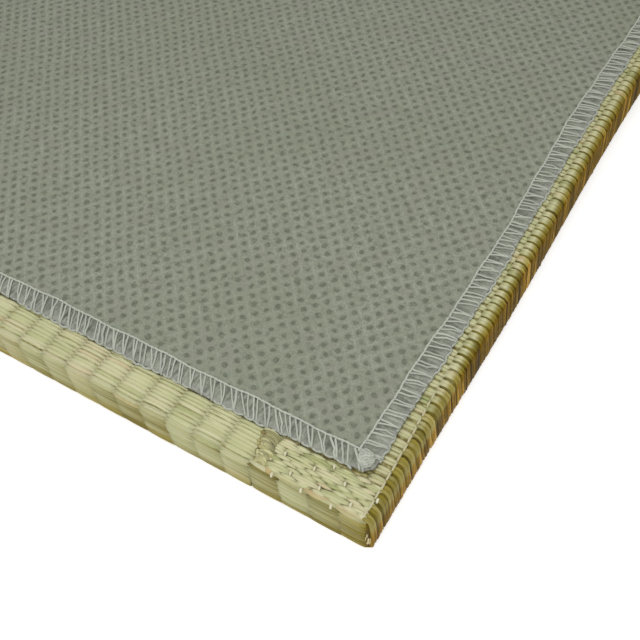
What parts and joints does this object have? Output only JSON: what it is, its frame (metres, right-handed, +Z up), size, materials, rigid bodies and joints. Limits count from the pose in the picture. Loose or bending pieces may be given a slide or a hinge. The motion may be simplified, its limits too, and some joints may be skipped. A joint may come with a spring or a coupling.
{
  "type": "tatami mat",
  "caption": "Thin square borderless tatami mat lying face down: rush facing wrapped round a slab and turned onto the back, with a dotted backing cloth overlocked at its hem.",
  "frame": {"origin": "middle of the underside, which is the woven face", "axes": "+Z up through the thickness to the backing, +X along the rushes, +Y along the ribs of the weave; the pictured corner is at +X and -Y"},
  "size_m": [0.82, 0.82, 0.0179],
  "materials": {
    "dried_rush": "plain weave of dried rush, pale yellow-green, satin",
    "nonwoven_cloth": "grey-green nonwoven with embossed dots, matt",
    "overlock_thread": "pale grey sewing thread, soft sheen"
  },
  "bodies": {
    "root": {"rush_facing": "dried_rush", "backing_cloth": "nonwoven_cloth", "thread_knot_front_right": "overlock_thread", "thread_knot_front_left": "overlock_thread", "thread_knot_back_right": "overlock_thread", "thread_knot_back_left": "overlock_thread"}
  },
  "joints": []
}
